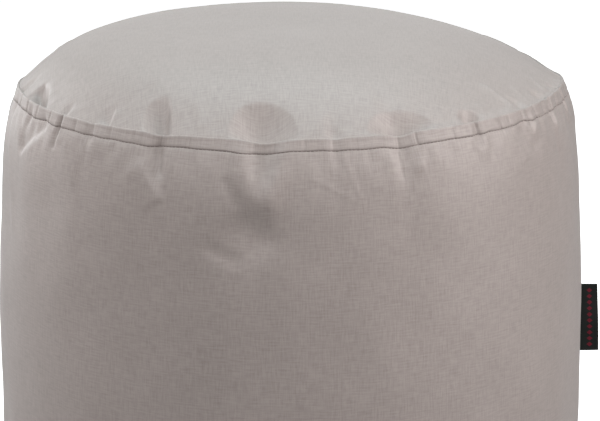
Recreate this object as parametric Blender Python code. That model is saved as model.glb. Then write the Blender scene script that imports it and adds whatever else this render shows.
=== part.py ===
"""Bean bag footstool: a drum of woven cloth, filled with beads and standing on its flat base.

A round crowned top panel and a round base panel are sewn to one side panel, which is a strip
closed by an upright seam at +X. Each seam's allowance is turned onto the side panel and
topstitched, so a slightly raised band runs under the rim and above the base. The seams draw the
cloth in and gather it, which leaves dents in the top panel and short folds down the wall. A
folded tape label is caught in the upright seam.

The origin is the centre of the base on the floor, +Z is up and the front faces -Y. Angles go
round the drum in degrees from the front towards +X. A distance across a seam is measured from
it: inwards on a round panel, down or up the wall on the side panel.
"""

import math
from typing import NamedTuple

import bmesh
import bpy
import numpy as np

MM = 0.001

# Driving dimensions, in metres.
BODY_DIAMETER = 0.500
WIDEST_BELOW_TOP_SEAM = 0.235
TOP_SEAM_DIAMETER = 0.460
TOP_SEAM_HEIGHT = 0.400
BASE_SEAM_DIAMETER = 0.466
BASE_SEAM_HEIGHT = 0.014
CROWN_RISE = 0.0477
BASE_FLAT_DIAMETER = 0.424
PIECE_GAP = 0.0003

# How the filled form is rounded.
WALL_BOW = 0.198  # drop in radius, per metre, with the square of the distance from the widest ring
DRAW_IN_REACH = 0.0184  # distance over which a seam's pull on the wall fades
CROWN_POWER = 4.1  # how flat the crown is in its middle and how full at its shoulder
CROWN_POWER_SWING = -1.55  # the shoulder is fuller on the -X side and slopes more on the +X side
CROWN_LEAN = 0.088  # the fill lies a little higher on the +X side
SEAM_TILT = 0.0020  # and so does the top seam
SEAM_SHIFT_REACH = 0.050  # distance along the wall over which a shift of the seam fades
SEAM_PINCH = 0.6  # a gather draws its seam in by this share of its sag

# The turned and topstitched seam allowance, on the side panel at both its ends.
BAND_WIDTH = 0.009
BAND_RAISE = 0.0009
STITCH_SINK = 0.0009
BAND_ROLL = 0.0012  # how soon the folded edge reaches its full height

# How a gather's marks lie along its reach, and how wide its wall dent is next to its width.
DENT_AT = 0.4
LOBE_AT = 1.4
DENT_FADE = 0.55
DENT_WIDTH = 0.7

# The upright seam and the label caught in it.
SIDE_SEAM_DEG = 90.0
SIDE_SEAM_SINK = 0.0015
SIDE_SEAM_HALF_WIDTH = 0.0025
LABEL_TOP_Z = 0.217
LABEL_HEIGHT = 0.059
LABEL_REACH_TOP = 0.0147
LABEL_REACH_FOOT = 0.0160
LABEL_THICKNESS = 0.0014
LABEL_TUCK = 0.0007
LABEL_WAVE = 0.0009
LABEL_WAVES = 1.2

# Fineness of the meshes.
COLUMNS = 144
LABEL_ROWS = 8
LABEL_COLUMNS = 4
RIM_STEPS = 4

# Worked out from the sizes above.
WALL_HEIGHT = TOP_SEAM_HEIGHT - BASE_SEAM_HEIGHT
BAND_STATIONS = (0.0, BAND_ROLL, BAND_WIDTH - BAND_ROLL, BAND_WIDTH, BAND_WIDTH + 2 * BAND_ROLL)


class Gather(NamedTuple):
    """A place where a seam bunches the cloth: its angle in degrees, and its marks in mm."""

    angle: float
    width: float  # to either side along the seam
    sag: float  # how far the seam dips
    wall_dent: float  # depth of the dent in the wall
    wall_reach: float  # how far this dent runs along the wall
    lobe: float  # how far the cloth swells past it
    top_dent: float = 0.0  # depth of the dent in the round top
    top_reach: float = 1.0  # how far this dent runs inwards


class Fold(NamedTuple):
    """A soft straight fold between two places, each an angle in degrees and mm from the top seam."""

    start_angle: float
    start: float
    end_angle: float
    end: float
    height: float  # mm: a ridge above 0, a trough below 0
    width: float  # mm to either side


TOP_SEAM_GATHERS = (
    # angle, width, sag, wall dent and reach, lobe, top dent and reach
    Gather(-64, 12, 0.6, 1.5, 14, 0.8, 4.5, 24),
    Gather(-43, 13, 0.8, 1.2, 14, 0.6, 2.6, 22),
    Gather(-26, 10, 1.1, 4.0, 26, 2.4, 4.0, 36),
    Gather(-5, 19, 2.2, 2.6, 18, 3.4, 5.0, 46),
    Gather(9, 9, 1.2, 1.0, 16, 0.8, 0.8, 16),
    Gather(24, 14, 2.2, 4.0, 26, 2.6, 4.5, 26),
    Gather(39, 9, 0.4, 1.6, 18, 1.0, 2.4, 18),
    Gather(55, 8, 0.5, 2.0, 22, 1.2, 1.6, 26),
    Gather(67, 8, 0.8, 2.2, 24, 1.4, 2.0, 18),
    Gather(84, 13, 1.2, 3.4, 28, 2.0, 3.6, 30),
    Gather(106, 10, 0.8, 2.0, 20, 1.2, 2.4, 20),
    Gather(127, 16, 1.8, 3.2, 26, 2.6, 4.4, 38),
    Gather(146, 9, 0.6, 2.0, 18, 1.2, 2.0, 18),
    Gather(163, 13, 1.4, 3.6, 30, 2.2, 3.8, 28),
    Gather(182, 10, 0.6, 1.4, 16, 0.8, 2.0, 22),
    Gather(201, 17, 2.0, 3.0, 22, 3.0, 4.6, 40),
    Gather(219, 9, 0.7, 2.4, 22, 1.2, 2.2, 18),
    Gather(236, 13, 1.2, 3.4, 28, 2.0, 3.4, 26),
    Gather(254, 9, 0.8, 1.8, 18, 1.0, 2.2, 22),
    Gather(271, 14, 1.4, 2.8, 26, 1.8, 3.6, 30),
)

TOP_FOLDS = (
    # start angle and distance, end angle and distance, height, width
    Fold(-57, 6, -68, 30, 1.6, 6),
    Fold(-40, 12, -36, 44, -0.9, 7),
    Fold(54, 4, 54, 36, 1.4, 6),
    Fold(116, 6, 112, 48, 1.2, 8),
    Fold(190, 8, 186, 52, 1.3, 8),
    Fold(262, 6, 259, 40, 1.2, 7),
)

WALL_FOLDS = (
    # start angle and distance, end angle and distance, height, width
    Fold(-57, 10, -67, 38, 2.6, 7),
    Fold(-75, 12, -69, 112, 1.8, 9),
    Fold(-12, 34, -1, 68, -3.4, 10),
    Fold(-10, 72, -4, 92, 1.8, 9),
    Fold(-14, 92, -8, 102, 1.2, 8),
    Fold(48, 8, 54, 34, 1.6, 6),
    Fold(118, 34, 129, 72, -2.6, 10),
    Fold(152, 12, 157, 44, 1.8, 7),
    Fold(193, 36, 205, 76, -3.0, 11),
    Fold(228, 12, 222, 46, 1.8, 8),
    Fold(262, 12, 256, 90, 1.6, 9),
)

BASE_SEAM_GATHERS = (
    # angle, width, sag, wall dent and reach, lobe
    Gather(-58, 13, 0.6, 2.4, 26, 1.2),
    Gather(-31, 11, 0.5, 1.8, 20, 0.8),
    Gather(2, 15, 0.8, 3.0, 30, 1.6),
    Gather(33, 10, 0.5, 1.8, 18, 0.8),
    Gather(61, 13, 0.7, 2.6, 26, 1.2),
    Gather(86, 11, 0.5, 2.0, 20, 1.0),
    Gather(119, 14, 0.7, 2.8, 28, 1.4),
    Gather(151, 10, 0.5, 1.8, 18, 0.8),
    Gather(177, 13, 0.7, 2.6, 26, 1.2),
    Gather(208, 11, 0.5, 2.0, 22, 1.0),
    Gather(240, 14, 0.7, 2.8, 28, 1.4),
    Gather(272, 10, 0.5, 1.8, 18, 0.8),
)


def turned(angle_from, angle_to):
    """The turn in degrees from one angle to another, between -180 and 180."""
    return (angle_to - angle_from + 180.0) % 360.0 - 180.0


def bell(distance, width):
    """1 at no distance, falling smoothly to nothing past about twice the width."""
    return np.exp(-((distance / width) ** 2))


def arc_mm(start_angle, angle):
    """Length along the top seam, in mm, from one angle to each other angle."""
    return np.radians(turned(start_angle, angle)) * TOP_SEAM_DIAMETER / 2 / MM


def seam_sag(angle, gathers):
    """How far a seam dips at each angle, in metres."""
    return MM * sum(row.sag * bell(arc_mm(row.angle, angle), row.width) for row in gathers)


def gathered_wall(angle, distance, gathers):
    """How far gathers push the wall out (above 0) or in, in metres, at each distance from their seam.

    Each gather is a dent near the seam and, past the dent's end, a lobe where the cloth swells.
    """
    relief = 0.0
    for row in gathers:
        across = arc_mm(row.angle, angle)
        fade = row.wall_reach * DENT_FADE
        dent = bell(across, row.width * DENT_WIDTH) * bell(distance / MM - row.wall_reach * DENT_AT, fade)
        lobe = bell(across, row.width) * bell(distance / MM - row.wall_reach * LOBE_AT, fade)
        relief = relief + row.lobe * lobe - row.wall_dent * dent
    return MM * relief


def gathered_top(angle, inward):
    """How far gathers dent the round top, in metres, at each distance inwards from its seam."""
    relief = 0.0
    narrowing = 1.0 - inward / (TOP_SEAM_DIAMETER / 2)
    for row in TOP_SEAM_GATHERS:
        across = arc_mm(row.angle, angle) * narrowing
        along = inward / MM - row.top_reach * DENT_AT
        relief = relief - row.top_dent * bell(across, row.width) * bell(along, row.top_reach * DENT_FADE)
    return MM * relief


def folded(angle, distance, folds):
    """How far single folds push the cloth out or in, in metres.

    A fold is a straight run with a bell-shaped section, which fades at both its ends.
    """
    relief = 0.0
    for row in folds:
        across = arc_mm(row.start_angle, angle)
        along = distance / MM - row.start
        run_across = arc_mm(row.start_angle, row.end_angle)
        run_along = row.end - row.start
        length = math.hypot(run_across, run_along)
        travel = (across * run_across + along * run_along) / length
        offset = (across * run_along - along * run_across) / length
        past_end = np.maximum(np.abs(travel - length / 2) - length / 2 + row.width, 0.0)
        relief = relief + row.height * bell(offset, row.width) * bell(past_end, row.width)
    return MM * relief


def side_seam_groove(angle):
    """How far the upright seam pulls the wall in, in metres: a shallow straight-sided groove."""
    across = np.radians(np.abs(turned(SIDE_SEAM_DEG, angle))) * BODY_DIAMETER / 2
    return SIDE_SEAM_SINK * np.clip(1.0 - across / SIDE_SEAM_HALF_WIDTH, 0.0, 1.0)


def band_relief(distance):
    """The raised allowance next to a seam, then the groove that its stitches pull in, in metres."""
    return np.interp(distance, BAND_STATIONS, (0.0, BAND_RAISE, BAND_RAISE, -STITCH_SINK, 0.0))


def top_seam_shift(angle):
    """How far the top seam lies above its plane at each angle, in metres."""
    return SEAM_TILT * np.sin(np.radians(angle)) - seam_sag(angle, TOP_SEAM_GATHERS)


def base_seam_shift(angle):
    """How far the base seam lies above its plane at each angle, in metres."""
    return seam_sag(angle, BASE_SEAM_GATHERS)


def wall_bow(drop):
    """Radius of the wall as the fill bows it, before the seams draw it in, in metres."""
    return BODY_DIAMETER / 2 - WALL_BOW * (drop - WIDEST_BELOW_TOP_SEAM) ** 2


def wall_radius(drop):
    """Radius of the plain wall at each distance below the top seam, in metres.

    The bow, less what each seam draws in, which fades exponentially away from the seam.
    """
    rise = WALL_HEIGHT - drop
    top_pull = (wall_bow(0.0) - TOP_SEAM_DIAMETER / 2) * np.exp(-drop / DRAW_IN_REACH)
    base_pull = (wall_bow(WALL_HEIGHT) - BASE_SEAM_DIAMETER / 2) * np.exp(-rise / DRAW_IN_REACH)
    return wall_bow(drop) - top_pull - base_pull


def side_wall(angle, drop):
    """Points of the side panel's outer face at each angle and distance below the top seam."""
    rise = WALL_HEIGHT - drop
    folds = (
        gathered_wall(angle, drop, TOP_SEAM_GATHERS)
        + gathered_wall(angle, rise, BASE_SEAM_GATHERS)
        + folded(angle, drop, WALL_FOLDS)
    )
    nearest = min(drop, rise)
    folds = folds * min(nearest / BAND_WIDTH, 1.0)
    near_top = math.exp(-drop / SEAM_SHIFT_REACH)
    near_base = math.exp(-rise / SEAM_SHIFT_REACH)
    pinch = SEAM_PINCH * seam_sag(angle, TOP_SEAM_GATHERS) * near_top
    radius = wall_radius(drop) + folds + band_relief(nearest) - side_seam_groove(angle) - pinch
    shift = top_seam_shift(angle) * near_top + base_seam_shift(angle) * near_base
    return polar(angle, radius, TOP_SEAM_HEIGHT - drop + shift)


def top_face(angle, inward):
    """Points of the crowned top panel at each angle and distance inwards from its seam.

    The crown is 1 less a power of the distance from the axis, with a power and a rise that
    change a little round the drum.
    """
    share = 1.0 - inward / (TOP_SEAM_DIAMETER / 2)
    aside = np.sin(np.radians(angle))
    crown = 1.0 - share ** (CROWN_POWER + CROWN_POWER_SWING * aside)
    crown = CROWN_RISE * crown * (1.0 + CROWN_LEAN * share * aside)
    dents = (gathered_top(angle, inward) + folded(angle, inward, TOP_FOLDS)) * min(inward / BAND_WIDTH, 1.0)
    seam = TOP_SEAM_HEIGHT + top_seam_shift(angle) * share**2
    radius = TOP_SEAM_DIAMETER / 2 - SEAM_PINCH * seam_sag(angle, TOP_SEAM_GATHERS)
    return polar(angle, radius * share, seam + crown + dents + PIECE_GAP / 2)


def polar(angle, radius, height):
    """Points from an angle, a distance from the axis and a height, as rows of x, y and z."""
    turn = np.radians(angle)
    flat = np.zeros(np.broadcast(angle, radius, height).shape)
    return np.stack([radius * np.sin(turn), -radius * np.cos(turn), height + flat], axis=-1)


def column_angles():
    """Angles of the mesh columns, with three more at the upright seam's groove."""
    even = np.arange(COLUMNS) * 360.0 / COLUMNS
    half_groove = math.degrees(SIDE_SEAM_HALF_WIDTH / (BODY_DIAMETER / 2))
    groove = SIDE_SEAM_DEG + half_groove * np.array([-1.0, 0.0, 1.0])
    return np.unique(np.concatenate([even, groove]))


def wall_drops():
    """Distances below the top seam of the side panel's rings, closest at its two seams."""
    below_top = [*BAND_STATIONS, 0.017, 0.025, 0.034, 0.044, 0.056, 0.069, 0.083, 0.099, 0.120]
    above_base = [*BAND_STATIONS, 0.020, 0.033, 0.050, 0.072]
    middle = [0.155, 0.200, 0.245, 0.285]
    return below_top + middle + [WALL_HEIGHT - rise for rise in reversed(above_base)]


def loft(bm, rings):
    """Joins rings of points with quads and returns the first and last ring's vertices."""
    rows = [[bm.verts.new(point) for point in ring] for ring in rings]
    count = len(rows[0])
    for upper, lower in zip(rows, rows[1:]):
        for index in range(count):
            after = (index + 1) % count
            bm.faces.new((upper[index], lower[index], lower[after], upper[after]))
    return rows[0], rows[-1]


def close(bm, ring, centre, facing_up):
    """Closes a ring with a fan of triangles about a centre point."""
    hub = bm.verts.new(centre)
    count = len(ring)
    for index in range(count):
        edge = (ring[index], ring[(index + 1) % count])
        bm.faces.new((hub, *edge) if facing_up else (hub, *reversed(edge)))


def cloth_material(name, colour, roughness):
    """A matt cloth finish of one colour."""
    material = bpy.data.materials.new(name)
    material.use_nodes = True
    shader = material.node_tree.nodes["Principled BSDF"]
    shader.inputs["Base Color"].default_value = (*colour, 1.0)
    shader.inputs["Roughness"].default_value = roughness
    shader.inputs["Metallic"].default_value = 0.0
    return material


def add_object(name, bm, material, parent):
    """Turns a bmesh into a smooth-shaded object of the footstool."""
    bmesh.ops.recalc_face_normals(bm, faces=bm.faces)
    mesh = bpy.data.meshes.new(name)
    bm.to_mesh(mesh)
    bm.free()
    mesh.materials.append(material)
    mesh.shade_smooth()
    mesh.set_sharp_from_angle(angle=math.radians(50))
    obj = bpy.data.objects.new(name, mesh)
    obj.parent = parent
    bpy.context.scene.collection.objects.link(obj)
    return obj


def build_top_panel(material, parent):
    """The crowned round top, filled down to the plane of its seam."""
    bm = bmesh.new()
    angles = column_angles()
    inwards = (0.0, 0.002, 0.006, 0.012, 0.020, 0.030, 0.043, 0.060, 0.084, 0.118, 0.165)
    rings = [top_face(angles, inward) for inward in inwards]
    rim, inner = loft(bm, rings)
    close(bm, inner, top_face(0.0, TOP_SEAM_DIAMETER / 2), facing_up=True)
    close(bm, rim, (0.0, 0.0, TOP_SEAM_HEIGHT + PIECE_GAP / 2), facing_up=False)
    return add_object("top_panel", bm, material, parent)


def build_side_panel(material, parent):
    """The filled drum between the two seams, with its raised bands and its folds."""
    bm = bmesh.new()
    angles = column_angles()
    rings = [side_wall(angles, drop) for drop in wall_drops()]
    rings[0][:, 2] -= PIECE_GAP / 2
    rings[-1][:, 2] += PIECE_GAP / 2
    top, foot = loft(bm, rings)
    close(bm, top, (0.0, 0.0, TOP_SEAM_HEIGHT - PIECE_GAP / 2), facing_up=True)
    close(bm, foot, (0.0, 0.0, BASE_SEAM_HEIGHT + PIECE_GAP / 2), facing_up=False)
    return add_object("side_panel", bm, material, parent)


def build_base_panel(material, parent):
    """The round underside, flat on the floor and turned up at its rim to the base seam.

    The turned-up rim is a quarter of an ellipse from the seam down to the flat.
    """
    bm = bmesh.new()
    angles = column_angles()
    flat_radius = BASE_FLAT_DIAMETER / 2
    rim_reach = BASE_SEAM_DIAMETER / 2 - flat_radius
    rim_height = BASE_SEAM_HEIGHT + base_seam_shift(angles) - PIECE_GAP / 2
    rings = []
    for turn in np.linspace(0.0, math.pi / 2, RIM_STEPS + 1):
        radius = flat_radius + rim_reach * math.cos(turn)
        rings.append(polar(angles, radius, rim_height * (1.0 - math.sin(turn))))
    rim, flat = loft(bm, rings)
    close(bm, rim, (0.0, 0.0, BASE_SEAM_HEIGHT - PIECE_GAP / 2), facing_up=True)
    close(bm, flat, (0.0, 0.0, 0.0), facing_up=False)
    return add_object("base_panel", bm, material, parent)


def build_side_label(material, parent):
    """The tape folded in half, standing straight out of the upright seam.

    Its inner edge follows the wall into the seam's groove, and its folded edge waves a little.
    """
    bm = bmesh.new()
    rows = []
    for down in np.linspace(0.0, 1.0, LABEL_ROWS):
        height = LABEL_TOP_Z - LABEL_HEIGHT * down
        inner = wall_radius(TOP_SEAM_HEIGHT - height) - LABEL_TUCK
        reach = LABEL_REACH_TOP + (LABEL_REACH_FOOT - LABEL_REACH_TOP) * down + LABEL_TUCK
        row = []
        for out in np.linspace(0.0, 1.0, LABEL_COLUMNS):
            wave = LABEL_WAVE * out**2 * math.sin(LABEL_WAVES * 2.0 * math.pi * down)
            row.append(bm.verts.new((inner + reach * out, wave, height)))
        rows.append(row)
    for upper, lower in zip(rows, rows[1:]):
        for index in range(LABEL_COLUMNS - 1):
            bm.faces.new((upper[index], lower[index], lower[index + 1], upper[index + 1]))
    label = add_object("side_label", bm, material, parent)
    thickness = label.modifiers.new("tape folded double", "SOLIDIFY")
    thickness.thickness = LABEL_THICKNESS
    thickness.offset = 0.0
    edges = label.modifiers.new("soft edges", "BEVEL")
    edges.width = LABEL_THICKNESS * 0.3
    edges.segments = 1
    edges.limit_method = "ANGLE"
    return label


def main():
    """Builds the footstool in an empty scene."""
    for obj in list(bpy.data.objects):
        bpy.data.objects.remove(obj, do_unlink=True)
    footstool = bpy.data.objects.new("footstool", None)
    bpy.context.scene.collection.objects.link(footstool)
    build_top_panel(cloth_material("top_cloth", (0.42, 0.39, 0.37), 0.78), footstool)
    build_side_panel(cloth_material("side_cloth", (0.38, 0.35, 0.33), 0.78), footstool)
    build_base_panel(cloth_material("base_cloth", (0.35, 0.32, 0.30), 0.82), footstool)
    build_side_label(cloth_material("label_tape", (0.008, 0.010, 0.009), 0.60), footstool)


main()
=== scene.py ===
"""Bean bag footstool: the looks of a drum of woven cloth, filled with beads and standing on its base.

The crowned top panel, the side panel and the base panel are built again as fine surfaces that
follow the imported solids, with the turned and topstitched seam allowances, the gathers, the single
folds and the slight unevenness of the fill. The stitches are thread, and the label is a folded
woven tape.

The origin is the centre of the base on the floor, +Z is up and the front faces -Y. Angles go
round the drum in degrees from the front towards +X. Lengths are in metres, but the rows of the
tables give millimetres.
"""

import logging
import math
from dataclasses import dataclass
from enum import Enum
from typing import NamedTuple

import bpy
import numpy as np
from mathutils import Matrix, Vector


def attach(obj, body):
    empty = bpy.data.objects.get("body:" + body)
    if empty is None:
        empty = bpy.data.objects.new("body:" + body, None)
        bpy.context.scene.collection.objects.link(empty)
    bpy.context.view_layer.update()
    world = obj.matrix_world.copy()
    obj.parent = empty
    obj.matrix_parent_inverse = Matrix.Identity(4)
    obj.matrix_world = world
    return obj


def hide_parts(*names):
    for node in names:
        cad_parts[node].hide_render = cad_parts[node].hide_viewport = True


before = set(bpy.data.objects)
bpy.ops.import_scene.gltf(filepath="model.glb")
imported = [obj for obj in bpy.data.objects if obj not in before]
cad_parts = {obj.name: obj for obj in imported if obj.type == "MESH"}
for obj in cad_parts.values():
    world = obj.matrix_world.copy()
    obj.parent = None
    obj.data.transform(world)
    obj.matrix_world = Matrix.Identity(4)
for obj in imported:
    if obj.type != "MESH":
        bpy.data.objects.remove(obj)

Array = np.ndarray
Source = bpy.types.Node | bpy.types.NodeSocket

MM = 0.001
BODY = "root"
log = logging.getLogger("footstool")


class Gather(NamedTuple):
    """A place where a seam bunches the cloth: its angle in degrees, and its marks in mm."""

    angle: float
    sag: float  # how far the seam dips
    dent: float  # depth of the dent in the wall at the stitches
    lip: float  # height of the raised lip round this dent
    width: float  # half the width of the lip at the stitches
    reach: float  # how far the lip runs along the wall
    lean: float  # how far aside the lip's far end lies


class Pit(NamedTuple):
    """A hollow that a gather leaves in the round top: its angle in degrees, and sizes in mm."""

    angle: float
    share: float  # of the crown's height that it takes away
    width: float  # half its width at the seam
    reach: float  # how far it runs inwards
    lean: float = 0.0  # how far aside its far end lies
    spread: float = 0.0  # how much wider it is to its left


class Fold(NamedTuple):
    """A straight fold between two places, each an angle in degrees and mm from the seam."""

    start_angle: float
    start: float
    end_angle: float
    end: float
    height: float  # mm: a ridge above 0, a trough below 0
    width: float  # mm to either side
    sharp: float = 0.0  # 0 for a soft round fold, 1 for a crease
    spread: float = 0.0  # mm wider on its left, or if below 0 on its right


class Pleat(NamedTuple):
    """A tuck of the side panel that the topstitching has caught across the seam allowance."""

    angle: float  # at the seam, in degrees
    lean: float  # mm that it runs aside on its way to the stitches
    depth: float  # mm
    width: float  # mm to either side


class Across(NamedTuple):
    """One place on the section of the turned seam allowance, in mm."""

    distance: float  # from the seam
    out: float  # proud of the plain wall
    up: float  # above the plain wall


class Spacing(NamedTuple):
    """A stretch of a panel that is meshed with evenly spaced rows, in mm from its top seam."""

    start: float
    end: float
    step: float


TOP_SEAM_GATHERS = (
    # angle, sag, dent, lip, width, reach, lean
    Gather(-78, 0.6, 2.4, 0.0, 11, 26, 2),
    Gather(-66, 0.6, 2.0, 0.0, 9, 24, -6),
    Gather(-53, 0.3, 2.2, 0.8, 5, 17, 0),
    Gather(-43.5, 1.1, 0.9, 0.5, 8, 14, 2),
    Gather(-26.4, 2.2, 1.4, 0.5, 15, 42, 5),
    Gather(-5.2, 4.0, 2.2, 2.6, 22, 44, 0),
    Gather(9, 1.3, 0.3, 0.2, 8, 20, 2),
    Gather(22.4, 3.2, 0.6, 0.2, 12, 36, 0),
    Gather(40, 0.4, 1.4, 0.8, 8, 16, 2),
    Gather(56, 0.5, 1.5, 0.8, 6, 14, 1),
    Gather(66, 1.2, 1.8, 1.0, 6, 16, 2),
    Gather(76, 0.4, 1.6, 0.9, 5, 14, 2),
    Gather(86, 0.3, 2.6, 1.4, 9, 24, 0),
    Gather(103, 3.5, 1.8, 0.4, 56, 26, 0),
    Gather(127, 2.2, 2.4, 2.4, 20, 40, 4),
    Gather(146, 0.6, 1.8, 0.9, 7, 18, 0),
    Gather(163, 1.6, 3.0, 1.8, 14, 36, -7),
    Gather(182, 0.6, 1.2, 0.7, 8, 17, 2),
    Gather(201, 2.4, 1.8, 2.6, 22, 40, 3),
    Gather(219, 0.7, 2.0, 1.0, 7, 20, 0),
    Gather(236, 1.4, 3.0, 1.8, 14, 34, -6),
    Gather(257, 3.0, 1.8, 0.4, 56, 28, 0),
)

TOP_PITS = (
    # angle, share, width, reach, lean, spread
    Pit(-78, 0.30, 9, 16),
    Pit(-60.8, 1.00, 5, 15, -26, 24),
    Pit(-53, 0.30, 6, 10),
    Pit(-39.5, 0.40, 3, 17, -6, 12),
    Pit(-25.8, 1.00, 7, 30, -14, 15),
    Pit(-5.2, 1.00, 29, 33, -4),
    Pit(9, 0.12, 8, 12),
    Pit(23.4, 1.00, 30, 21),
    Pit(40, 1.00, 12, 14),
    Pit(56, 0.20, 7, 18),
    Pit(66, 0.30, 9, 14),
    Pit(76, 0.15, 7, 12),
    Pit(86, 0.20, 12, 14),
    Pit(104, 0.35, 34, 30),
    Pit(127, 0.90, 25, 33),
    Pit(146, 0.30, 9, 13),
    Pit(163, 0.80, 17, 24),
    Pit(182, 0.30, 10, 15),
    Pit(201, 0.92, 27, 34),
    Pit(219, 0.35, 9, 14),
    Pit(236, 0.75, 15, 26),
    Pit(256, 0.35, 34, 30),
)

TOP_FOLDS = (
    # start angle and distance, end angle and distance, height, width, sharpness, spread
    Fold(-62.4, 1, -70.5, 13, -5.0, 2.0, 0.6, 12),
    Fold(-57, 3, -68, 19, 0.5, 3.2, 0.4),
    Fold(-40, 13, -36, 41, -0.9, 5, 0.2),
    Fold(-18, 6, -22, 30, 0.7, 5),
    Fold(5, 8, 9, 26, 0.6, 5),
    Fold(47, 3, 45, 17, 0.7, 3, 0.4),
    Fold(54, 2, 54, 36, 1.1, 3.2, 0.5),
    Fold(60, 3, 62, 22, 0.8, 3, 0.4),
    Fold(70, 5, 74, 21, 1.0, 3, 0.5),
    Fold(116, 6, 112, 48, 1.0, 5, 0.3),
    Fold(190, 8, 186, 52, 1.1, 5, 0.3),
    Fold(262, 6, 259, 40, 1.0, 4, 0.3),
)

WALL_FOLDS = (
    # start angle and distance, end angle and distance, height, width, sharpness, spread
    Fold(-57.5, 9, -67, 36, -3.6, 4.0, 0.3, 16),
    Fold(-26.6, 9, -25.4, 31, -2.1, 4.5),
    Fold(-30, 20, -25.0, 50, 1.6, 5, 0.0, 9),
    Fold(-53.5, 9, -53, 25, -1.5, 3),
    Fold(-50.5, 10, -51.5, 19, 0.8, 2.6, 0.3),
    Fold(-76, 12, -69, 108, 0.5, 5, 0.3),
    Fold(-10.4, 56, -3.0, 82, -4.4, 14, 0.0, 8),
    Fold(-12.5, 27, -9.5, 50, -1.1, 5),
    Fold(-15.6, 82, -9.4, 94, -1.2, 6.0),
    Fold(-5.8, 43, -1.4, 43, 3.0, 12),
    Fold(-2.2, 18, -4.8, 37, 1.4, 7),
    Fold(10, 9, 13.3, 45, 0.5, 2.2, 0.4),
    Fold(4, 27, 14.2, 50, 0.3, 2.2, 0.4),
    Fold(21.5, 9, 22.1, 31, -0.8, 1.6, 0.3, 2),
    Fold(24.6, 20, 26.2, 24, 1.6, 6),
    Fold(47.8, 8, 52.6, 35, 1.0, 2.4, 0.3, 7),
    Fold(51.5, 8, 56.5, 28, -1.5, 7),
    Fold(57.5, 10, 58.5, 19, 0.9, 2.6, 0.4),
    Fold(65.8, 10, 68.2, 24, 1.0, 2.8, 0.4),
    Fold(77, 11, 79.8, 28, 1.0, 3, 0.4),
    Fold(118, 44, 128, 78, -3.2, 12),
    Fold(152, 12, 157, 44, 1.4, 3.6, 0.6),
    Fold(193, 44, 204, 78, -3.2, 12),
    Fold(212, 88, 206, 96, -1.4, 7),
    Fold(228, 12, 222, 46, 1.4, 3.4, 0.6),
    Fold(262, 12, 256, 90, 1.4, 5, 0.3),
)

BASE_SEAM_GATHERS = (
    # angle, sag, dent, lip, width, reach, lean
    Gather(-58, 0.6, 1.8, 1.3, 9, 26, 2),
    Gather(-31, 0.5, 1.4, 0.9, 8, 20, -2),
    Gather(2, 0.8, 2.2, 1.7, 11, 30, 3),
    Gather(33, 0.5, 1.4, 0.9, 7, 18, 0),
    Gather(61, 0.7, 2.0, 1.4, 9, 26, -3),
    Gather(86, 0.5, 1.5, 1.1, 8, 20, 0),
    Gather(119, 0.7, 2.2, 1.5, 10, 28, 3),
    Gather(151, 0.5, 1.4, 0.9, 7, 18, 0),
    Gather(177, 0.7, 2.0, 1.4, 9, 26, -2),
    Gather(208, 0.5, 1.5, 1.1, 8, 22, 2),
    Gather(240, 0.7, 2.2, 1.5, 10, 28, -3),
    Gather(272, 0.5, 1.4, 0.9, 7, 18, 0),
)

TOP_SEAM_PLEATS = (
    # angle, lean, depth, width
    Pleat(-74, 1.2, 1.2, 0.9),
    Pleat(-69, 2.0, 1.7, 1.0),
    Pleat(-63, -1.0, 1, 0.9),
    Pleat(-57, 0.6, 0.9, 0.8),
    Pleat(-52.8, -0.8, 1.8, 1.0),
    Pleat(-48, 0.8, 0.8, 0.9),
    Pleat(-43, 2.0, 1.2, 0.9),
    Pleat(-38, 0.8, 1, 0.8),
    Pleat(-32, -0.6, 0.6, 0.8),
    Pleat(-26.2, -1.8, 1.7, 1.0),
    Pleat(-20, 0.4, 0.4, 0.9),
    Pleat(-7, 0.4, 0.6, 1.0),
    Pleat(-3, -0.5, 0.8, 0.9),
    Pleat(3, 0.2, 0.6, 0.9),
    Pleat(8.5, 0.2, 0.6, 0.9),
    Pleat(13, 0.2, 0.4, 0.9),
    Pleat(22, 0.2, 1.2, 0.9),
    Pleat(25.5, 0.8, 1.5, 0.9),
    Pleat(34, 0.6, 0.6, 0.8),
    Pleat(40, 2.2, 1.8, 0.9),
    Pleat(46.5, 1.4, 1.4, 0.8),
    Pleat(49.5, 1.4, 1.2, 0.8),
    Pleat(54, 1.0, 0.9, 0.8),
    Pleat(59, 0.8, 1.9, 0.8),
    Pleat(63, 0.8, 1.7, 0.8),
    Pleat(67, 1.0, 2.1, 0.8),
    Pleat(71, 0.8, 1.9, 0.8),
    Pleat(76, 0.8, 1.8, 0.8),
    Pleat(80, 0.6, 1.6, 0.8),
    Pleat(98, 0.6, 0.6, 0.8),
    Pleat(112, -0.8, 0.6, 0.9),
    Pleat(128, 0.8, 1.3, 1.0),
    Pleat(136, 0.6, 0.5, 0.8),
    Pleat(147, -0.8, 0.8, 0.9),
    Pleat(163, -0.8, 1.2, 1.0),
    Pleat(172, 0.4, 0.4, 0.9),
    Pleat(184, 0.6, 0.6, 0.9),
    Pleat(203, 1.0, 1.4, 1.0),
    Pleat(211, -0.6, 0.5, 0.8),
    Pleat(221, 0.8, 0.8, 0.9),
    Pleat(238, -1.0, 1.2, 0.9),
    Pleat(247, 0.6, 0.5, 0.8),
    Pleat(256, 0.8, 0.8, 0.9),
    Pleat(266, 0.8, 0.7, 0.9),
    Pleat(278, -0.6, 0.6, 0.8),
)

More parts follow.
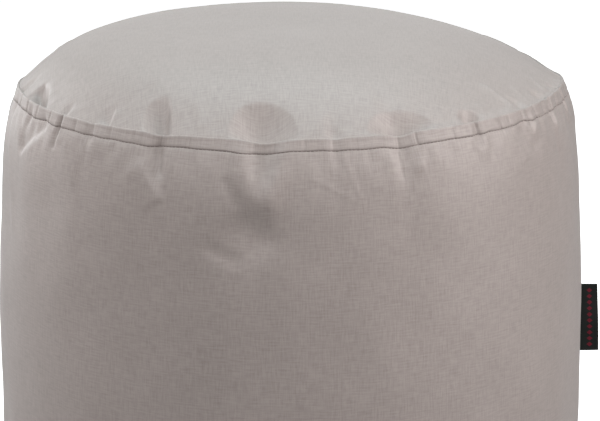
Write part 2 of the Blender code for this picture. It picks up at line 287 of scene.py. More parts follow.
ALLOWANCE_SECTION = (
    # distance, out, up
    Across(-1.3, -1.30, -0.50),
    Across(-0.8, -0.90, 0.05),
    Across(-0.4, -0.40, 0.25),
    Across(0.0, 0.15, 0.20),
    Across(0.4, 0.60, 0.05),
    Across(0.9, 0.90, 0.0),
    Across(1.5, 0.98, 0.0),
    Across(3.0, 0.95, 0.0),
    Across(5.0, 0.85, 0.0),
    Across(6.2, 0.65, 0.0),
    Across(7.1, 0.40, 0.0),
    Across(7.45, -0.10, 0.0),
    Across(7.65, -0.35, 0.0),
    Across(7.85, -0.25, 0.0),
    Across(8.3, 0.10, 0.0),
    Across(9.0, 0.22, 0.0),
    Across(10.2, 0.25, 0.0),
    Across(12.5, 0.15, 0.0),
    Across(15.0, 0.0, 0.0),
)

WALL_ROWS = (
    # start, end, step
    Spacing(15.0, 60.0, 1.6),
    Spacing(60.0, 130.0, 2.7),
    Spacing(130.0, 300.0, 8.0),
    Spacing(300.0, 350.0, 5.0),
    Spacing(350.0, 371.0, 2.6),
)

TOP_ROWS = (
    # start, end, step
    Spacing(0.0, 3.0, 0.75),
    Spacing(3.0, 15.0, 1.2),
    Spacing(15.0, 72.0, 2.0),
    Spacing(72.0, 226.0, 4.4),
)


def turned(angle_from: float, angle_to: Array) -> Array:
    """The turn in degrees from one angle to each other, between -180 and 180."""
    return (angle_to - angle_from + 180.0) % 360.0 - 180.0


def bell(distance: Array, width: float | Array) -> Array:
    """e to the minus the square of the distance over the width: 1 at 0, falling to nothing."""
    return np.exp(-((distance / width) ** 2))


def fading(distance: Array, reach: float | Array) -> Array:
    """e to the minus the distance over the reach: 1 up to 0, then falling to nothing."""
    return np.exp(-np.maximum(distance, 0.0) / reach)


def spaced(rows: tuple[Spacing, ...]) -> list[float]:
    """Distances of all rows of a panel, each stretch with its own even step.

    Args:
        rows: The stretches, in order, each starting where the last one ends.

    Returns:
        The distances in metres, with the last stretch's end.
    """
    distances: list[float] = []
    for row in rows:
        count = round((row.end - row.start) / row.step)
        distances += list(np.linspace(row.start, row.end, count, endpoint=False))
    return [MM * distance for distance in [*distances, rows[-1].end]]


def polar(angle: Array, radius: Array, height: float | Array) -> Array:
    """Points round the drum's axis.

    Args:
        angle: Angles in degrees from the front towards +X.
        radius: Distances from the axis.
        height: Heights above the floor.

    Returns:
        An array of the three's common shape, with x, y and z last.
    """
    turn = np.radians(angle)
    flat = np.zeros(np.broadcast(angle, radius, height).shape)
    return np.stack([radius * np.sin(turn), -radius * np.cos(turn), height + flat], axis=-1)


@dataclass(frozen=True)
class Unevenness:
    """The slight waves that the fill leaves in the cloth.

    The relief is a sum of plane waves, drawn once from a seeded generator, and long waves are
    higher than short ones. Each has a whole number of waves round the drum, so it closes there.
    """

    seed: int
    waves: int
    shortest: float  # metres
    longest: float  # metres
    height: float  # metres, of the whole sum at its usual highest
    girth: float = 1.56  # metres round the drum

    def relief(self, along: Array, across: Array) -> Array:
        """How far the cloth lies proud, in metres.

        Args:
            along: Lengths round the drum, or x on the round top, in metres.
            across: Lengths down the wall, or y on the round top, in metres.

        Returns:
            The sum of the waves at each place.
        """
        draw = np.random.default_rng(self.seed)
        total = 0.0
        for _ in range(self.waves):
            length = self.shortest * (self.longest / self.shortest) ** draw.random()
            heading = math.pi * draw.random()
            rounds = round(math.cos(heading) * self.girth / length)
            turn = rounds * along / self.girth + math.sin(heading) * across / length
            total = total + length * np.cos(2 * math.pi * (turn + draw.random()))
        return self.height * total / (self.longest * math.sqrt(self.waves))


@dataclass(frozen=True)
class Drum:
    """The sizes of the filled drum, and how its fill and its seams shape the cloth."""

    # The filled form.
    body_diameter: float = 0.500
    widest_below_seam: float = 0.235
    seam_diameter: float = 0.460
    seam_height: float = 0.400
    base_seam_diameter: float = 0.466
    base_seam_height: float = 0.014
    base_flat_diameter: float = 0.424
    crown_rise: float = 0.0477
    wall_bow: float = 0.198  # drop in radius, per metre, with the square of the distance
    crown_power: float = 4.1  # how flat the crown's middle is
    crown_power_swing: float = -1.55  # the crown slopes more towards +X
    crown_lean: float = 0.088  # and is higher there

    # How the seams pull the form.
    draw_in_reach: float = 0.0170  # over which a seam's pull on the wall fades
    hinge: float = 0.0020  # the stiff allowance keeps that pull whole down to here
    seam_tilt: float = 0.0020  # the top seam rises by this towards +X
    tilt_reach: float = 0.1  # over which this fades away from the seam
    shift_reach: float = 0.050  # over which a dip of a seam fades down the wall
    sag_reach: float = 0.018  # and over the top panel
    sag_width: float = 0.75  # of a dip, in its gather's own width
    pinch: float = 0.6  # a dip draws its seam in by this share of its depth
    front_draw: float = 0.004  # how much further gathers pull in the wall's front and back
    front_draw_reach: float = 0.032  # over which this fades down the wall
    calm_middle: float = 3.0  # tilt and dips fade out on the innermost 1 / 3 of the top panel

    # The turned and topstitched allowance.
    band: float = 0.0076  # from the seam to its stitches
    front_stand: float = 0.0012  # how far the folded edge stands up at the front
    side_stand: float = 0.0032  # and at the sides
    stand_reach: float = 0.005  # over which it fades on the top panel
    stand_end: float = 98.0  # degrees from the front where the sides' extra height has ended
    stand_fade: float = 16.0  # degrees over which it ends
    wander_reach: float = 0.012  # over which a stray of the stitches fades past them
    pleat_end: float = 1.3  # a pleat has ended at this share of the band

    # A gather's lip and dent, in the gather's own measure, which is 1 at the lip's outside.
    point: float = 1.5  # how pointed the lip is: 1 a V, 2 an ellipse
    lip_at: float = 0.78
    lip_inside: float = 0.30
    lip_outside: float = 0.45
    dent_width: float = 0.42

    # The pits in the top panel.
    pit_power: float = 1.2  # 1 slopes evenly from foot to edge, more is rounder at the foot
    pit_edge: float = 1.08  # above 1 the edge of a pit is softer
    pit_sink: float = 0.0090  # how far the pits go below the seam
    pit_sink_reach: float = 0.002  # over which they reach that depth from the seam

    # The top panel where it meets the folded edge, and how both panels close out of sight.
    tuck_depth: float = 0.0006  # how far the top panel dips under the folded edge
    tuck_reach: float = 0.0016
    top_inset: float = 0.0010  # of its rim from the seam
    top_lift: float = 0.0002
    closing_drop: float = 0.0135  # how far below the seam the panels close, under the pits
    closing_inset: float = 0.0035

    # The upright seam.
    seam_deg: float = 90.0
    seam_sink: float = 0.0016
    seam_half_width: float = 0.0025
    seam_edge: float = 1.3  # above 1 the groove's edges are rounded

    # Waves of the fill, the stray of the stitched line, and the puckers beside the stitches.
    fill: Unevenness = Unevenness(seed=5, waves=26, shortest=0.035, longest=0.16, height=0.0011)
    crown_fill: Unevenness = Unevenness(seed=6, waves=26, shortest=0.04, longest=0.12, height=0.0003)
    wander: Unevenness = Unevenness(seed=3, waves=14, shortest=0.014, longest=0.070, height=0.0009)
    pucker: Unevenness = Unevenness(seed=8, waves=22, shortest=0.010, longest=0.026, height=0.0006)
    wall_pucker_at: float = 0.016  # from the seam, where they are highest
    wall_pucker_reach: float = 0.014
    wall_pucker_stretch: float = 2.0  # puckers are this much longer down the wall
    top_pucker_at: float = 0.006
    top_pucker_reach: float = 0.008

    @property
    def wall_height(self) -> float:
        """Length of the wall between its two seams."""
        return self.seam_height - self.base_seam_height

    def arc_mm(self, start_angle: float, angle: Array) -> Array:
        """Length along the top seam, in mm, from one angle to each other angle."""
        return np.radians(turned(start_angle, angle)) * self.seam_diameter / 2 / MM

    def sag(self, angle: Array, rows: tuple[Gather, ...]) -> Array:
        """How far a seam dips at each angle: the sum of its gathers' bells."""
        return MM * sum(
            row.sag * bell(self.arc_mm(row.angle, angle), row.width * self.sag_width) for row in rows
        )

    def gathered_wall(self, angle: Array, distance: Array, rows: tuple[Gather, ...]) -> Array:
        """How far gathers push the wall out or in.

        Each gather is a dent at the stitches inside a raised lip shaped like a V with a round
        foot. Both depend on one measure, which is 0 at the stitches and 1 at the lip's outside:
        the pointed norm of the shares of its width and of its reach. The lip is a bell of that
        measure, wider on its outer side, and the dent is a bell round 0.

        Args:
            angle: Angles round the drum in degrees.
            distance: Distances along the wall from the gathers' seam.
            rows: The gathers of that seam.

        Returns:
            How far the cloth lies proud, in metres.
        """
        relief = 0.0
        off = np.maximum(distance - self.band, 0.0) / MM
        for row in rows:
            aside = self.arc_mm(row.angle, angle) - row.lean * off / row.reach
            measure = (np.abs(aside) / row.width) ** self.point + (off / row.reach) ** self.point
            measure = measure ** (1 / self.point)
            spread = np.where(measure < self.lip_at, self.lip_inside, self.lip_outside)
            lip = bell(measure - self.lip_at, spread)
            relief = relief + row.lip * lip - row.dent * bell(measure, self.dent_width)
        return MM * relief

    def pits(self, angle: Array, inward: Array) -> Array:
        """Share of the crown that the gathers take away.

        Each pit is half of an ellipse, in which the cloth slopes down towards the seam: its
        share is 1 less a power of the way from its foot to its edge, and the power of that
        which softens the edge. Pits that overlap take their shares one after the other.

        Args:
            angle: Angles round the drum in degrees.
            inward: Distances inwards from the seam.

        Returns:
            0 where there is no pit, and up to 1 at a pit's foot.
        """
        left = 1.0
        narrowing = 1.0 - inward / (self.seam_diameter / 2)
        for row in TOP_PITS:
            along = inward / MM / row.reach
            aside = self.arc_mm(row.angle, angle) * narrowing - row.lean * along
            aside = aside / (row.width + np.where(aside < 0.0, row.spread, 0.0))
            depth = np.clip(1.0 - np.hypot(aside, along) ** self.pit_power, 0.0, 1.0)
            left = left * (1.0 - row.share * depth**self.pit_edge)
        return 1.0 - left

    def folded(self, angle: Array, distance: Array, rows: tuple[Fold, ...]) -> Array:
        """How far single folds push the cloth out or in.

        A fold is a straight run that fades at both its ends. Its section is a bell for a soft
        fold, and e to the minus the distance for a crease, which has a sharp top. Its sharpness
        mixes the two.

        Args:
            angle: Angles round the drum in degrees.
            distance: Distances from the top seam.
            rows: The folds of the panel.

        Returns:
            How far the cloth lies proud, in metres.
        """
        relief = 0.0
        for row in rows:
            aside = self.arc_mm(row.start_angle, angle)
            along = distance / MM - row.start
            run_aside = self.arc_mm(row.start_angle, np.asarray(row.end_angle))
            run_along = row.end - row.start
            length = math.hypot(run_aside, run_along)
            travel = (aside * run_aside + along * run_along) / length
            offset = (aside * run_along - along * run_aside) / length
            past_end = np.maximum(np.abs(travel - length / 2) - length / 2 + row.width, 0.0)
            wide = row.width + np.maximum(-row.spread * np.sign(offset), 0.0)
            soft = bell(offset, wide)
            crease = fading(np.abs(offset), wide)
            section = soft + row.sharp * (crease - soft)
            relief = relief + row.height * section * bell(past_end, row.width)
        return MM * relief

    def pleated(self, angle: Array, distance: Array) -> Array:
        """How far the tucks sink the allowance: sharp troughs that end just past the stitches.

        Args:
            angle: Angles round the drum in degrees.
            distance: Distances below the top seam.

        Returns:
            The troughs' relief in metres, 0 or less.
        """
        relief = 0.0
        share = np.clip(distance / self.band, 0.0, 1.0)
        past_stitches = (distance / self.band - 1.0) / (self.pleat_end - 1.0)
        for row in TOP_SEAM_PLEATS:
            aside = self.arc_mm(row.angle, angle) - row.lean * share
            relief = relief - row.depth * fading(np.abs(aside), row.width)
        return MM * relief * np.clip(1.0 - past_stitches, 0.0, 1.0)

    def side_seam_groove(self, angle: Array) -> Array:
        """How far the upright seam pulls the wall in: a shallow groove with rounded edges."""
        aside = np.radians(np.abs(turned(self.seam_deg, angle))) * self.body_diameter / 2
        return self.seam_sink * np.clip(1.0 - aside / self.seam_half_width, 0.0, 1.0) ** self.seam_edge

    def bow(self, drop: Array) -> Array:
        """Radius of the wall as the fill bows it, before the seams draw it in."""
        return self.body_diameter / 2 - self.wall_bow * (drop - self.widest_below_seam) ** 2

    def wall_radius(self, drop: float | Array) -> Array:
        """Radius of the plain wall: the bow, less a pull that fades away from each seam.

        Args:
            drop: Distances below the top seam.

        Returns:
            The distance from the axis at each.
        """
        drop = np.asarray(drop)
        top_pull = self.bow(np.zeros(1)) - self.seam_diameter / 2
        base_pull = self.bow(np.full(1, self.wall_height)) - self.base_seam_diameter / 2
        above = fading(drop - self.hinge, self.draw_in_reach)
        below = fading(self.wall_height - drop - self.hinge, self.draw_in_reach)
        return self.bow(drop) - top_pull * above - base_pull * below

    def stand(self, angle: Array, off: Array) -> Array:
        """How far the folded edge stands up: least at the front, most at the sides.

        Args:
            angle: Angles round the drum in degrees.
            off: Distances from the seam, over which it fades.

        Returns:
            The extra height in metres.
        """
        from_front = np.abs(turned(0.0, angle))
        ahead = np.clip((self.stand_end - from_front) / self.stand_fade, 0.0, 1.0)
        aside = np.sin(np.radians(angle)) ** 2 * ahead
        height = self.front_stand + (self.side_stand - self.front_stand) * aside
        return height * fading(off, self.stand_reach)

    def top_shift(self, angle: Array, off: Array, fade: float) -> Array:
        """How far the top seam's tilt and its dips shift the cloth up, the dips fading as given."""
        tilt = self.seam_tilt * np.sin(np.radians(angle)) * fading(off, self.tilt_reach)
        return tilt - self.sag(angle, TOP_SEAM_GATHERS) * fading(off, fade)

    def wander_of_stitches(self, angle: Array, distance: Array) -> Array:
        """How far the stitched line strays from its even distance to the seam.

        Args:
            angle: Angles round the drum in degrees.
            distance: Distances from the seam: the stray grows up to the stitches, then fades.

        Returns:
            The stray in metres.
        """
        share = np.clip(distance / self.band, 0.0, 1.0)
        share = share * fading(distance - self.band, self.wander_reach)
        return share * self.wander.relief(angle / 360 * self.wander.girth, np.zeros(1))

    def wall_relief(self, angle: Array, drop: Array, nearest: Array) -> Array:
        """How far gathers, folds, the fill and puckers push the wall out, fading at its seams.

        Args:
            angle: Angles round the drum in degrees.
            drop: Distances below the top seam.
            nearest: Distances from the nearer seam.

        Returns:
            The sum in metres.
        """
        relief = self.gathered_wall(angle, drop, TOP_SEAM_GATHERS)
        relief = relief + self.gathered_wall(angle, self.wall_height - drop, BASE_SEAM_GATHERS)
        relief = relief + self.folded(angle, drop, WALL_FOLDS)
        along = angle / 360 * self.fill.girth
        relief = relief + self.fill.relief(along, drop)
        puckers = self.pucker.relief(along, drop / self.wall_pucker_stretch)
        near_stitches = fading(np.abs(nearest - self.wall_pucker_at), self.wall_pucker_reach)
        relief = relief + puckers * near_stitches
        return relief * np.clip(nearest / self.band, 0.0, 1.0)

    def wall(self, angle: Array, drop: Array) -> Array:
        """Points of the side panel's outer face.

        The radius is the plain wall's, with the relief, the section of the allowances, the
        pleats and the groove, less what the gathers draw in. The height is the seam's less the
        drop, with the shifts of both seams.

        Args:
            angle: Angles round the drum in degrees, one per column.
            drop: Distances below the top seam, one per row.

        Returns:
            An array of rows by columns by x, y and z.
        """
        angle, drop = angle[None, :], drop[:, None]
        nearest = np.minimum(drop, self.wall_height - drop)
        stray = self.wander_of_stitches(angle, nearest)
        drop = drop + np.where(drop < self.wall_height / 2, stray, -stray)
        rise = self.wall_height - drop
        distance, out, up = (MM * np.array(column) for column in zip(*ALLOWANCE_SECTION))
        relief = self.wall_relief(angle, drop, nearest)
        relief = relief + np.interp(nearest, distance, out) + self.pleated(angle, drop)
        pinch = self.pinch * self.sag(angle, TOP_SEAM_GATHERS) * fading(drop, self.shift_reach)
        facing = np.cos(np.radians(angle)) ** 2
        pinch = pinch + self.front_draw * facing * fading(drop - self.hinge, self.front_draw_reach)
        radius = self.wall_radius(drop) + relief - self.side_seam_groove(angle) - pinch
        shift = self.top_shift(angle, drop, self.shift_reach)
        shift = shift + self.sag(angle, BASE_SEAM_GATHERS) * fading(rise, self.shift_reach)
        lift = np.interp(nearest, distance, up) * np.where(drop < rise, 1.0, -1.0)
        stand = self.stand(angle, np.zeros(1)) * np.clip(1.0 - drop / self.band, 0.0, 1.0)
        height = self.seam_height - np.clip(drop, 0.0, self.wall_height) + shift + lift + stand
        return polar(angle, radius, height)

    def closing_ring(self, angle: Array, above: float) -> Array:
        """The hidden ring, inside and below the top seam, from which a panel closes.

        Args:
            angle: Angles round the drum in degrees, one per column.
            above: How far it lies above the side panel's own closing ring, in metres.

        Returns:
            One row of points.
        """
        radius = self.seam_diameter / 2 - self.closing_inset + above
        sag = self.sag(angle, TOP_SEAM_GATHERS)
        height = self.seam_height - self.closing_drop + above - sag
        return polar(angle, radius - self.front_draw, height)[None]

    def top(self, angle: Array, inward: Array) -> Array:
        """Points of the crowned top panel.

        The crown is 1 less a power of the distance from the axis. The pits sink it, folds and
        unevenness lie on it, and at the seam the cloth dips under the folded edge.

        Args:
            angle: Angles round the drum in degrees, one per column.
            inward: Distances inwards from the seam, one per row.

        Returns:
            An array of rows by columns by x, y and z.
        """
        angle, inward = angle[None, :], inward[:, None]
        share = 1.0 - inward / (self.seam_diameter / 2)
        aside = np.sin(np.radians(angle))
        crown = 1.0 - share ** (self.crown_power + self.crown_power_swing * aside)
        crown = self.crown_rise * crown * (1.0 + self.crown_lean * share * aside)
        pits = self.pits(angle, inward)
        sunk = self.pit_sink * pits * (1.0 - fading(inward, self.pit_sink_reach))
        crown = crown * (1.0 - pits) - sunk
        x, y = np.moveaxis(polar(angle, self.seam_diameter / 2 * share, 0.0)[..., :2], -1, 0)
        relief = self.folded(angle, inward, TOP_FOLDS) + self.crown_fill.relief(x, y)
        near_stitches = fading(np.abs(inward - self.top_pucker_at), self.top_pucker_reach)
        relief = relief + self.pucker.relief(x, y) * near_stitches
        relief = relief * np.clip(inward / self.band, 0.0, 1.0)
        tuck = self.tuck_depth * fading(inward, self.tuck_reach)
        shift = self.top_shift(angle, inward, self.sag_reach)
        seam = self.seam_height + shift * np.minimum(self.calm_middle * share, 1.0)
        seam = seam + self.stand(angle, inward)
        pinch = self.pinch * self.sag(angle, TOP_SEAM_GATHERS) * fading(inward, self.sag_reach)
        pinch = pinch + self.front_draw * np.cos(np.radians(angle)) ** 2
        radius = (self.seam_diameter / 2 - self.top_inset) * share - pinch * share
        return polar(angle, radius, seam + crown + relief - tuck + self.top_lift)


DRUM = Drum()
FULL_TURN = 360.0  # degrees
SEAM_COLUMNS = (0.8, 1.6, 2.5, 3.6)  # mm to either side of the upright seam
PLEAT_COLUMNS = (-2.0, -1.0, 0.0, 1.0, 2.0)  # mm from the middle of a pleat
CLOSEST_COLUMNS = 0.08  # degrees


def columns(front: int, back: int, pleats: bool) -> Array:
    """Angles of the mesh columns from the upright seam round to it again.

    Args:
        front: How many evenly spaced columns the front half has.
        back: How many evenly spaced columns the back half has.
        pleats: Whether closer columns are added at the pleats and at the upright seam.

    Returns:
        The angles in degrees, rising from the upright seam's.
    """
    start = DRUM.seam_deg
    half_turn = FULL_TURN / 2
    parts = [start + np.arange(back) * half_turn / back]
    parts.append(start + half_turn + np.arange(front) * half_turn / front)
    if pleats:
        per_mm = math.degrees(MM / (DRUM.seam_diameter / 2))
        for side in (-1.0, 1.0):
            parts.append(start + per_mm * side * np.array(SEAM_COLUMNS))
        for row in TOP_SEAM_PLEATS:
            parts.append(row.angle + per_mm * (row.lean / 2 + np.array(PLEAT_COLUMNS)))
    angles = start + (np.concatenate(parts) - start) % FULL_TURN
    angles = np.unique(np.round(angles, 4))
    return angles[np.diff(angles, prepend=-1.0) > CLOSEST_COLUMNS]


def cut_lengths(rings: Array) -> Array:
    """Length along the cloth from the first ring to each, averaged round the drum."""
    steps = np.linalg.norm(np.diff(rings, axis=0), axis=-1).mean(axis=1)
    return np.concatenate([[0.0], np.cumsum(steps)])


def round_cut(angles: Array, lengths: Array) -> Array:
    """Pattern coordinates of a round panel laid flat, from the length from its middle to each ring."""
    whole_turn = np.append(angles, angles[0] + FULL_TURN)[None, :]
    return polar(whole_turn, lengths[:, None], np.zeros((1, 1)))[..., :2]


def hex_colour(code: str) -> tuple[float, float, float, float]:
    """An sRGB hex value as linear light.

    Args:
        code: A # and two hex digits each of red, green and blue.

    Returns:
        Linear red, green and blue, and full alpha.
    """
    values = [int(code[at : at + 2], 16) / 255 for at in (1, 3, 5)]
    linear = [v / 12.92 if v <= 0.04045 else ((v + 0.055) / 1.055) ** 2.4 for v in values]
    return (*linear, 1.0)


def add_piece(name: str, points: Array, corners: Array, totals: Array, uv: Array) -> bpy.types.Object:
    """A smooth piece from whole arrays of points, face corners and pattern coordinates.

    Args:
        name: Name of the piece.
        points: Vertices, as rows of x, y and z.
        corners: Vertex index of each face corner, face after face.
        totals: How many corners each face has.
        uv: Pattern coordinates of each face corner, in metres of cut cloth.

    Returns:
        The object, linked to the scene.
    """
    mesh = bpy.data.meshes.new(name)
    mesh.vertices.add(len(points))
    mesh.vertices.foreach_set("co", points.astype(np.float32).ravel())
    mesh.loops.add(len(corners))
    mesh.loops.foreach_set("vertex_index", corners.astype(np.int32))
    mesh.polygons.add(len(totals))
    starts = np.concatenate([[0], np.cumsum(totals)[:-1]])
    mesh.polygons.foreach_set("loop_start", starts.astype(np.int32))
    mesh.update(calc_edges=True)
    layer = mesh.uv_layers.new(name="cut")
    layer.data.foreach_set("uv", uv.astype(np.float32).ravel())
    mesh.validate()
    mesh.shade_smooth()
    piece = bpy.data.objects.new(name, mesh)
    bpy.context.scene.collection.objects.link(piece)
    return piece


def closed_rings(name: str, rings: Array, cut: Array, first: float, last: float) -> bpy.types.Object:
    """A closed surface of rings that run from a piece's top to its underside, with a fan at each end.

    Args:
        name: Name of the piece.
        rings: Rows by columns by x, y and z. Each ring closes on itself.
        cut: Rows by columns and one more by two pattern coordinates in metres.
        first: Height of the middle of the fan that closes the first ring and faces up.
        last: Height of the middle of the fan that closes the last ring and faces down.

    Returns:
        The object, linked to the scene.
    """
    rows, count = rings.shape[:2]
    row, column = np.meshgrid(np.arange(rows - 1), np.arange(count), indexing="ij")
    steps = ((0, 0), (1, 0), (1, 1), (0, 1))
    quads = [(row + down) * count + (column + aside) % count for down, aside in steps]
    quad_cut = [cut[row + down, column + aside] for down, aside in steps]
    corners = [np.stack(quads, axis=-1).ravel()]
    patterns = [np.stack(quad_cut, axis=-2).reshape(-1, 2)]
    around = np.arange(count)
    for ring, hub, order in ((0, rows * count, 1), (rows - 1, rows * count + 1, -1)):
        edge = np.stack([around, around + 1], axis=-1)[:, ::order]
        fan = np.column_stack([np.full(count, hub), ring * count + edge % count])
        corners.append(fan.ravel())
        hub_cut = np.tile(cut[ring].mean(axis=0), (count, 1))
        fan_cut = np.stack([hub_cut, cut[ring, edge[:, 0]], cut[ring, edge[:, 1]]], axis=1)
        patterns.append(fan_cut.reshape(-1, 2))
    points = np.concatenate([rings.reshape(-1, 3), [(0.0, 0.0, first), (0.0, 0.0, last)]])
    totals = np.concatenate([np.full((rows - 1) * count, 4), np.full(2 * count, 3)])
    return add_piece(name, points, np.concatenate(corners), totals, np.concatenate(patterns))


@dataclass(frozen=True)
class NodeMaker:
    """Adds shader nodes to one material."""

    tree: bpy.types.NodeTree

    def add(
        self, kind: str, links: dict[str | int, Source] | None = None, **settings: object
    ) -> bpy.types.Node:
        """Adds a node.

        Args:
            kind: Blender's name of the node type, without its ShaderNode prefix.
            links: What to link from, by the name or number of the input it goes to: an output
                socket, or a node for its first output.
            **settings: Properties by name, and inputs by their name with underscores or, as
                in_0 and in_1, by their number.

        Returns:
            The new node.
        """
        node = self.tree.nodes.new("ShaderNode" + kind)
        for key, value in settings.items():
            if key.startswith("in_"):
                node.inputs[int(key[3:])].default_value = value
            elif hasattr(node, key):
                setattr(node, key, value)
            else:
                node.inputs[key.replace("_", " ")].default_value = value
        for key, source in (links or {}).items():
            socket = source.outputs[0] if isinstance(source, bpy.types.Node) else source
            self.tree.links.new(socket, node.inputs[key])
        return node


def new_material(name: str) -> tuple[bpy.types.Material, NodeMaker]:
    """An empty node material and the maker of its nodes.

    Args:
        name: Name of the material.

    Returns:
        The material, and what adds nodes to it.
    """
    material = bpy.data.materials.new(name)
    material.use_nodes = True
    material.node_tree.nodes.clear()
    return material, NodeMaker(material.node_tree)


@dataclass(frozen=True)
class WovenCloth:
    """Plain-woven polyester canvas with slubby yarns.

    To the eye it is matt, with a fine even grid of yarns, streaks where slubs run, and a faint
    sheen at grazing light. Its yarns are about 0.4 mm apart, which is finer than a pixel of the
    picture, so they are drawn at yarn_pitch, as coarse as they need to be to show.
    """

    name: str = "polyester_canvas"
    light_yarn: str = "#A79E9A"
    dark_yarn: str = "#938A86"
    yarn_pitch: float = 1.1 * MM
    slub_length: float = 13.0 * MM
    slub_pitch: float = 1.25 * MM
    cloud_size: float = 70.0 * MM
    grid_share: float = 0.1  # of the even grid in the tone, next to the slubs
    cloud_share: float = 0.25  # of the clouds in the tone
    darkest: float = 0.78  # the sum of the tones that is shown as the dark yarn
    lightest: float = 1.36
    relief: float = 0.10 * MM
    roughness: float = 0.5
    sheen: float = 0.3
    sheen_roughness: float = 0.5
    specular: float = 0.8

    def make(self) -> bpy.types.Material:
        """Builds the material: the yarns' light and dark, their relief, and clouds of tone."""
        material, nodes = new_material(self.name)
        cut = nodes.add("UVMap", uv_map="cut")
        band_scale = math.pi / 10 / self.yarn_pitch  # at scale 1 a band comes every pi / 10 m

        def slubs(along: float, across: float) -> bpy.types.Node:
            """Streaks of one size in metres along u and another along v."""
            place = nodes.add("Mapping", {"Vector": cut}, Scale=(1 / along, 1 / across, 1.0))
            return nodes.add("TexNoise", {"Vector": place}, Scale=1.0, Detail=2.0, Roughness=0.6)

        weft = slubs(self.slub_length, self.slub_pitch)
        warp = slubs(self.slub_pitch, self.slub_length)
        streaks = nodes.add("Math", {0: weft, 1: warp}, operation="ADD")
        bands = {"Scale": band_scale, "Distortion": 1.2, "Detail": 1.0}
        ends = nodes.add("TexWave", {"Vector": cut}, bands_direction="X", **bands).outputs["Fac"]
        picks = nodes.add("TexWave", {"Vector": cut}, bands_direction="Y", **bands).outputs["Fac"]
        grid = nodes.add("Math", {0: ends, 1: picks}, operation="MULTIPLY")
        links = {0: grid, 2: streaks}
        surface = nodes.add("Math", links, operation="MULTIPLY_ADD", in_1=self.grid_share)
        place = nodes.add("Mapping", {"Vector": cut}, Scale=(1 / self.cloud_size,) * 3)
        cloud = nodes.add("TexNoise", {"Vector": place}, Scale=1.0, Detail=3.0)
        links = {0: cloud, 2: surface}
        tone = nodes.add("Math", links, operation="MULTIPLY_ADD", in_1=self.cloud_share)
        share = nodes.add("MapRange", {"Value": tone}, From_Min=self.darkest, From_Max=self.lightest)
        dark, light = hex_colour(self.dark_yarn), hex_colour(self.light_yarn)
        colour = nodes.add("Mix", {0: share}, data_type="RGBA", in_6=dark, in_7=light).outputs[2]
        bump = nodes.add("Bump", {"Height": surface}, Strength=1.0, Distance=self.relief)
        shader = nodes.add(
            "BsdfPrincipled",
            {"Base Color": colour, "Normal": bump},
            Roughness=self.roughness,
            Sheen_Weight=self.sheen,
            Sheen_Roughness=self.sheen_roughness,
            Specular_IOR_Level=self.specular,
        )
        nodes.add("OutputMaterial", {"Surface": shader})
        return material


@dataclass(frozen=True)
class SewingThread:
    """Twisted polyester thread, to the eye a shade darker than the cloth, with a fine twist drawn as
    painted shade between its plies.
    """

    name: str = "sewing_thread"
    colour: str = "#7A716E"
    # Painted shade: the grooves between the twisted plies are drawn this much darker than the thread's own
    # colour.
    painted_ply_shade: float = 0.8  # of the colour
    plies_per_mm: float = 1.4
    roughness: float = 0.6

    def make(self) -> bpy.types.Material:
        """Builds the material: one colour, darkened by noise where painted shade stands for the grooves
        between the plies of its fine twist.
        """
        material, nodes = new_material(self.name)
        place = nodes.add("TexCoord").outputs["Object"]
        ply_scale = self.plies_per_mm / MM
        ply = nodes.add("TexNoise", {"Vector": place}, Scale=ply_scale, Detail=1.0)
        share = nodes.add("MapRange", {"Value": ply}, From_Min=0.35, From_Max=0.65)
        light = hex_colour(self.colour)
        # The darker tone is painted shade in the grooves between the plies, not a colour of the thread.
        dark = (*(self.painted_ply_shade * value for value in light[:3]), 1.0)
        colour = nodes.add("Mix", {0: share}, data_type="RGBA", in_6=dark, in_7=light).outputs[2]
        shader = nodes.add("BsdfPrincipled", {"Base Color": colour}, Roughness=self.roughness)
        nodes.add("OutputMaterial", {"Surface": shader})
        return material


